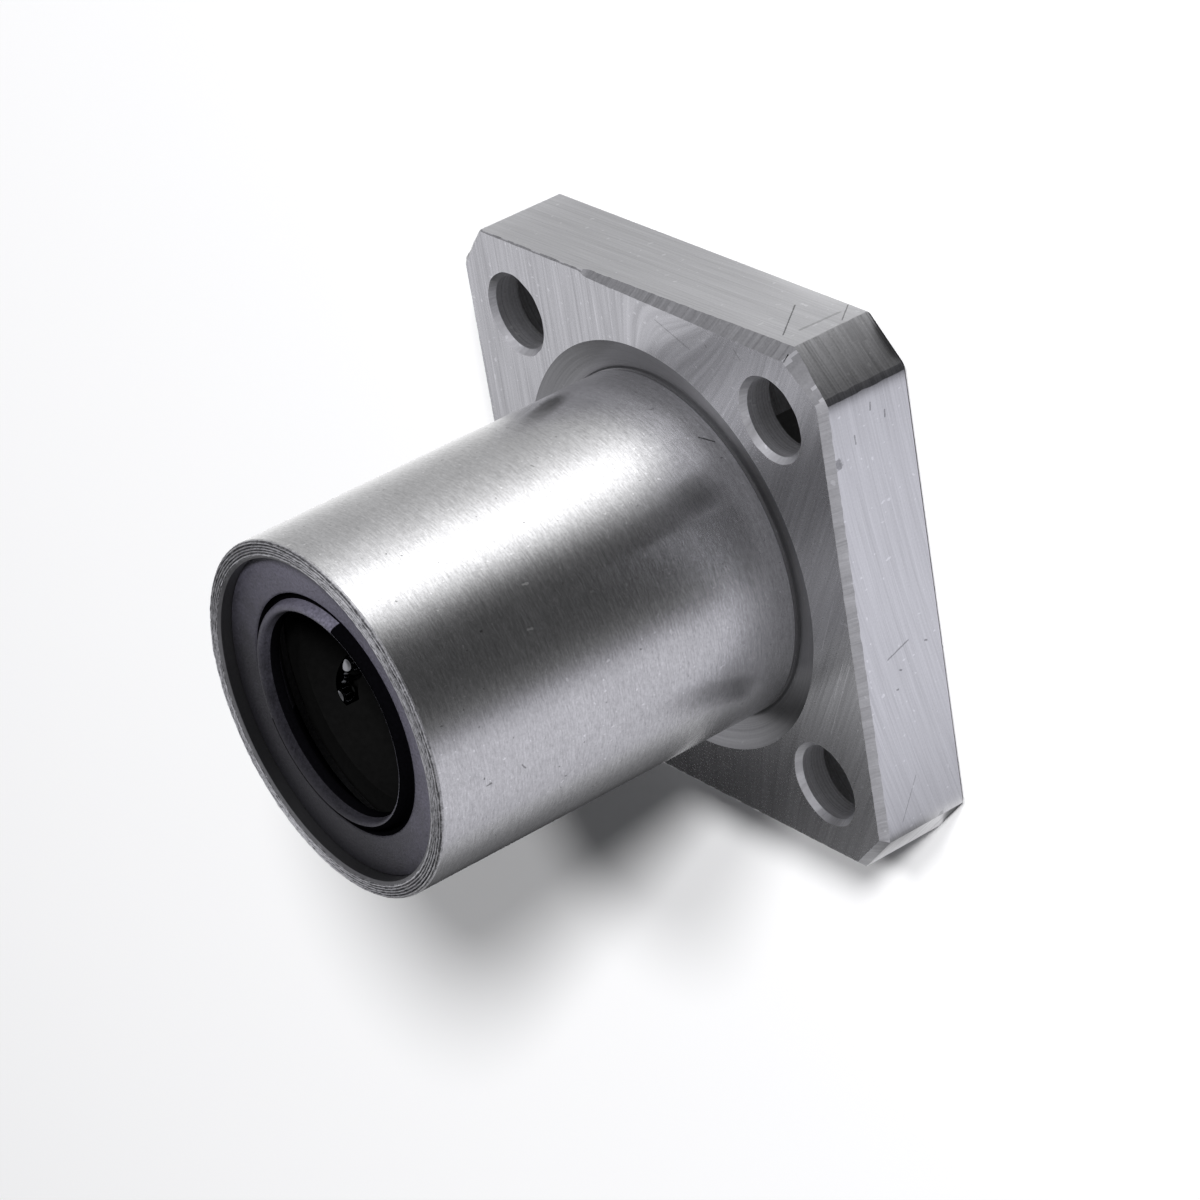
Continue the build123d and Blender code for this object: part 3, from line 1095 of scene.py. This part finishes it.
def mirror_card(name, columns, rows, place_of, tone_of, material):
    """A card that only shiny surfaces see: a grid bent to a formula and coloured by another."""
    clear_selection()
    bpy.ops.mesh.primitive_grid_add(x_subdivisions=columns, y_subdivisions=rows, size=1)
    card = bpy.context.object
    card.name = name
    glow = card.data.color_attributes.new("glow", "FLOAT_COLOR", "POINT")
    for vertex in card.data.vertices:
        u, v = vertex.co.x + 0.5, vertex.co.y + 0.5
        glow.data[vertex.index].color = (*tone_of(u, v), 1.0)
        vertex.co = place_of(u, v)
    card.data.materials.append(material)
    card.visible_camera = False
    card.visible_diffuse = False
    card.visible_shadow = False
    card.visible_transmission = False
    card.visible_volume_scatter = False


def fan_place(u, v):
    """The point of the low fan that the barrel's surface mirrors to the camera."""
    theta = math.radians(fan_start + fan_sweep * u)
    heading = 2 * theta - math.radians(camera_heading)
    reach = fan_near + fan_length * v * v
    x = barrel_radius * math.cos(theta) + reach * math.cos(heading)
    y = barrel_radius * math.sin(theta) + reach * math.sin(heading)
    return Vector((x, y, card_depth))


def fan_glow(u, v):
    """What the barrel mirrors, a little bluer on its lower side."""
    theta = fan_start + fan_sweep * u
    tone = from_stops(mirror_stops, theta)
    tint = 0.06 * eased(theta, -48, -40) * (1 - eased(theta, 10, 18))
    return (tone, tone * (1 - tint * 0.15), tone * (1 + tint))


def collar_place(u, v):
    """An upright band a little outside the flange's edge, which its side faces look into."""
    half = flange_half + collar_gap
    short = half - flange_corner_cut + collar_gap * (math.sqrt(2) - 2)
    corners = [(half, short), (short, half), (-short, half), (-half, short)]
    corners += [(-x, -y) for x, y in corners]
    corners = [Vector((x, y, 0)) for x, y in corners]
    sides = [(a, b) for a, b in zip(corners, corners[1:] + corners[:1])]
    left = u * sum((b - a).length for a, b in sides)
    for a, b in sides:
        length = (b - a).length
        if left <= length:
            break
        left -= length
    place = a + (b - a) * min(1.0, left / length)
    place.z = collar_bottom + collar_height * v
    return place


def collar_glow(u, v):
    """What the flange's edges mirror: pale at the right, greyer at the top, dark at the cut corners."""
    place = collar_place(u, v) / mm
    edge = (flange_half + collar_gap) / mm - 0.01
    blue = 1.02
    if place.x > edge:
        tone = from_stops(right_edge_stops, place.y)
        blue = 1.09
    elif place.y > edge:
        tone = from_stops(top_edge_stops, place.x)
    elif place.x > 0 and place.y > 0:
        tone = from_stops(corner_stops, place.x)
    elif place.x > 0 and place.y < 0 and place.y > -edge:
        tone = 1.0 - 0.78 * eased(place.z, 0.8, 3.0)
    else:
        tone = 0.7
    return (tone, tone, tone * blue)


def sky_place(u, v):
    """A dome over the stage."""
    heading = 2 * math.pi * u
    rise = math.radians(sky_edge + (90 - sky_edge) * v)
    flat = sky_radius * math.cos(rise)
    return Vector((flat * math.cos(heading), flat * math.sin(heading), sky_radius * math.sin(rise)))


def sky_glow(u, v):
    """What upward faces mirror: a pattern and a window low down, and one pale tone overhead."""
    heading = 360 * u
    rise = sky_edge + (90 - sky_edge) * v
    theta = (heading + camera_heading) / 2
    fan_end = fan_start + fan_sweep
    low = from_stops(low_sky_stops, theta if theta < fan_end else theta - 180)
    begins, whole, fades, ends = window_headings
    facing = eased(heading, begins, whole) * (1 - eased(heading, fades, ends))
    low += (window_tone - low) * facing
    tone = low + (overhead_tone - low) * eased(rise, *sky_low_ends)
    return (tone, tone * 0.995, tone * 1.05)


def screen_place(u, v):
    """An upright card beside the barrel's dark side."""
    return screen_corner + Vector((screen_length * u, 0, screen_height * v))


def screen_glow(u, v):
    """What the front face's lower part and the barrel's far side mirror."""
    place = screen_place(u, v) / mm
    low = from_stops(screen_stops, place.x)
    tone = low + (window_tone - low) * eased(place.z, *screen_low_ends)
    return (tone, tone, tone * 1.03)


def footprint_place(u, v):
    """The floor under the flange, which its holes and bore look down on."""
    return Vector((footprint_half * (2 * u - 1), footprint_half * (2 * v - 1), -0.01 * mm))


def footprint_glow(u, v):
    """Nearly black, since no light gets under the flange."""
    return (footprint_tone, footprint_tone, footprint_tone)


def light_place(heading, rise):
    """A light's place by its heading and its rise over the floor, in degrees."""
    turn, lift = math.radians(heading), math.radians(rise)
    flat = math.cos(lift)
    return Vector((flat * math.cos(turn), flat * math.sin(turn), math.sin(lift))) * light_distance


def soft_light(name, place, power):
    """An area light that looks at the bearing and that mirrors don't see."""
    data = bpy.data.lights.new(name, "AREA")
    data.shape = "DISK"
    data.size = light_size
    data.energy = power
    light = bpy.data.objects.new(name, data)
    bpy.context.scene.collection.objects.link(light)
    light.location = place
    light.rotation_euler = (place - light_target).to_track_quat("Z", "Y").to_euler()
    light.visible_camera = False
    light.visible_glossy = False


def make_stage(colours):
    """Floor, soft lights, mirror cards and the camera."""
    scene = bpy.context.scene
    scene.view_settings.view_transform = "Standard"
    clear_selection()
    bpy.ops.mesh.primitive_plane_add(size=floor_size, location=(0, 0, -0.02 * mm))
    floor = bpy.context.object
    floor.name = "pale_floor"
    bpy.ops.object.transform_apply(location=True, rotation=True, scale=True)
    material, tree = new_tree("pale_floor_finish")
    shader = add_node(tree, "ShaderNodeBsdfDiffuse", {}, {"Color": rgba(colours.floor)})
    add_node(tree, "ShaderNodeOutputMaterial", {}, {"Surface": shader})
    floor.data.materials.append(material)
    floor.visible_glossy = False
    glow = glow_finish("card_glow")
    mirror_card("mirror_fan", 180, 8, fan_place, fan_glow, glow)
    mirror_card("mirror_collar", 488, 16, collar_place, collar_glow, glow)
    mirror_card("mirror_sky", 180, 30, sky_place, sky_glow, glow)
    mirror_card("mirror_screen", 172, 20, screen_place, screen_glow, glow)
    mirror_card("mirror_footprint", 2, 2, footprint_place, footprint_glow, glow)
    world = bpy.data.worlds.new("studio_air")
    world.use_nodes = True
    back = world.node_tree.nodes["Background"]
    back.inputs["Color"].default_value = (0.96, 0.97, 1.0, 1.0)
    back.inputs["Strength"].default_value = 0.08
    scene.world = world
    soft_light("key_light", light_place(43, 27), 66.0)
    soft_light("fill_light", light_place(56, 44), 19.0)
    camera_data = bpy.data.cameras.new("photo_camera")
    camera_data.lens = camera_lens
    camera_data.clip_start = 0.01
    camera_data.clip_end = 10.0
    camera = bpy.data.objects.new("photo_camera", camera_data)
    scene.collection.objects.link(camera)
    back_axis = camera_right.cross(camera_up)
    turn = Matrix((camera_right, camera_up, back_axis)).transposed()
    camera.matrix_world = Matrix.Translation(camera_place) @ turn.to_4x4()
    scene.camera = camera


class BEARING_OT_stage(bpy.types.Operator):
    """Adds the floor, the light and the camera"""

    bl_idname = "bearing.stage"
    bl_label = "Add Stage"

    def execute(self, context):
        make_stage(context.scene.bearing_colours)
        return {"FINISHED"}


class BEARING_OT_sleeve(bpy.types.Operator):
    """Models the flanged steel sleeve"""

    bl_idname = "bearing.sleeve"
    bl_label = "Model Sleeve"

    def execute(self, context):
        make_sleeve(context.scene.bearing_sizes, context.scene.bearing_colours)
        return {"FINISHED"}


class BEARING_OT_seals(bpy.types.Operator):
    """Models the two wiper seals"""

    bl_idname = "bearing.seals"
    bl_label = "Model Seals"

    def execute(self, context):
        make_seals(context.scene.bearing_colours)
        return {"FINISHED"}


class BEARING_OT_rings(bpy.types.Operator):
    """Finishes the two snap rings"""

    bl_idname = "bearing.rings"
    bl_label = "Finish Snap Rings"

    def execute(self, context):
        make_rings(context.scene.bearing_colours)
        return {"FINISHED"}


class BEARING_OT_cage(bpy.types.Operator):
    """Finishes the ball cage"""

    bl_idname = "bearing.cage"
    bl_label = "Finish Cage"

    def execute(self, context):
        make_cage(context.scene.bearing_colours)
        return {"FINISHED"}


class BEARING_OT_balls(bpy.types.Operator):
    """Models the smooth balls of all circuits"""

    bl_idname = "bearing.balls"
    bl_label = "Model Balls"

    def execute(self, context):
        make_balls(context.scene.bearing_sizes, context.scene.bearing_colours)
        return {"FINISHED"}


class BEARING_PT_sidebar(bpy.types.Panel):
    """Lists the bearing's sizes, colours and steps"""

    bl_label = "Square Flange Linear Bearing"
    bl_idname = "BEARING_PT_sidebar"
    bl_space_type = "VIEW_3D"
    bl_region_type = "UI"
    bl_category = "Bearing"

    def draw(self, context):
        column = self.layout.column()
        for settings in (context.scene.bearing_sizes, context.scene.bearing_colours):
            for name in settings.__annotations__:
                column.prop(settings, name)
        for step in steps_in_order:
            column.operator(step.bl_idname)


steps_in_order = (
    BEARING_OT_stage,
    BEARING_OT_sleeve,
    BEARING_OT_seals,
    BEARING_OT_rings,
    BEARING_OT_cage,
    BEARING_OT_balls,
)
classes = (BearingSizes, BearingColours, *steps_in_order, BEARING_PT_sidebar)


def register():
    for one in classes:
        bpy.utils.register_class(one)
    bpy.types.Scene.bearing_sizes = PointerProperty(type=BearingSizes)
    bpy.types.Scene.bearing_colours = PointerProperty(type=BearingColours)


def unregister():
    del bpy.types.Scene.bearing_colours
    del bpy.types.Scene.bearing_sizes
    for one in reversed(classes):
        bpy.utils.unregister_class(one)


def main():
    register()
    bpy.ops.bearing.stage()
    bpy.ops.bearing.sleeve()
    bpy.ops.bearing.seals()
    bpy.ops.bearing.rings()
    bpy.ops.bearing.cage()
    bpy.ops.bearing.balls()


if __name__ == "__main__":
    main()
